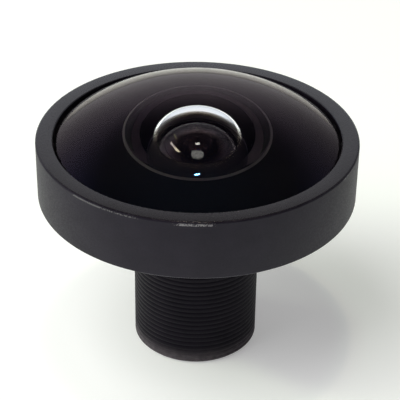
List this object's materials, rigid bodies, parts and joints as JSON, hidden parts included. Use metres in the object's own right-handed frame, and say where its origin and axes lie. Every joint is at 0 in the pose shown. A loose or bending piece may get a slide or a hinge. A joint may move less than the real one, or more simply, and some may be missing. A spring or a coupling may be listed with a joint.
{
  "type": "fisheye lens",
  "caption": "Compact board-camera fisheye lens: wide black ring round a domed front glass, on a short fine-threaded barrel with a filter in its rear.",
  "frame": {"origin": "centre of the barrel's rear face, on the optical axis", "axes": "+Z along the optical axis, from the barrel's rear face to the domed front glass; the lens is round about it"},
  "size_m": [0.03, 0.03, 0.0265],
  "materials": {
    "barrel_anodised": "satin black anodised",
    "ring_anodised": "bead-blasted black anodised",
    "front_glass": "polished, coated",
    "inner_glass": "polished, coated",
    "filter_glass": "polished, coated",
    "seal_rubber": "matte",
    "inner_black": "matte black anodised",
    "black_film": "matte"
  },
  "bodies": {
    "lens_body": {"barrel": "barrel_anodised", "front_seal": "seal_rubber", "front_spacer": "inner_black", "second_lens": "inner_glass", "third_lens": "inner_glass", "light_shield_1": "black_film", "spacer_1": "inner_black", "fourth_lens": "inner_glass", "spacer_2": "inner_black", "aperture_stop": "inner_black", "fifth_lens": "inner_glass", "sixth_lens": "inner_glass", "light_shield_2": "black_film", "spacer_3": "inner_black", "seventh_lens": "inner_glass", "stack_lock_ring": "inner_black"},
    "front_glass": {"front_lens": "front_glass"},
    "screw_ring": {"front_ring": "ring_anodised"},
    "filter": {"ir_cut_filter": "filter_glass"},
    "filter_holder": {"filter_ring": "inner_black"}
  },
  "joints": [
    {"name": "front_ring_lift", "type": "slide", "parent": "lens_body", "child": "front_glass", "axis": [0, 0, 1], "range_m": [0, 0.002]},
    {"name": "front_ring_turn", "type": "hinge", "parent": "front_glass", "child": "screw_ring", "pos_m": [0, 0, 0.0193], "axis": [0, 0, 1], "range_deg": [0, 1440]},
    {"name": "filter_ring_travel", "type": "slide", "parent": "lens_body", "child": "filter", "axis": [0, 0, -1], "range_m": [0, 0.0014]},
    {"name": "filter_ring_turn", "type": "hinge", "parent": "filter", "child": "filter_holder", "pos_m": [0, 0, 0.001], "axis": [0, 0, -1], "range_deg": [0, 1440]}
  ],
  "couplings": [
    {"joint": "front_ring_lift", "follows": "front_ring_turn", "m_per_rad": 0.000079577},
    {"joint": "filter_ring_travel", "follows": "filter_ring_turn", "m_per_rad": 0.000055704}
  ]
}
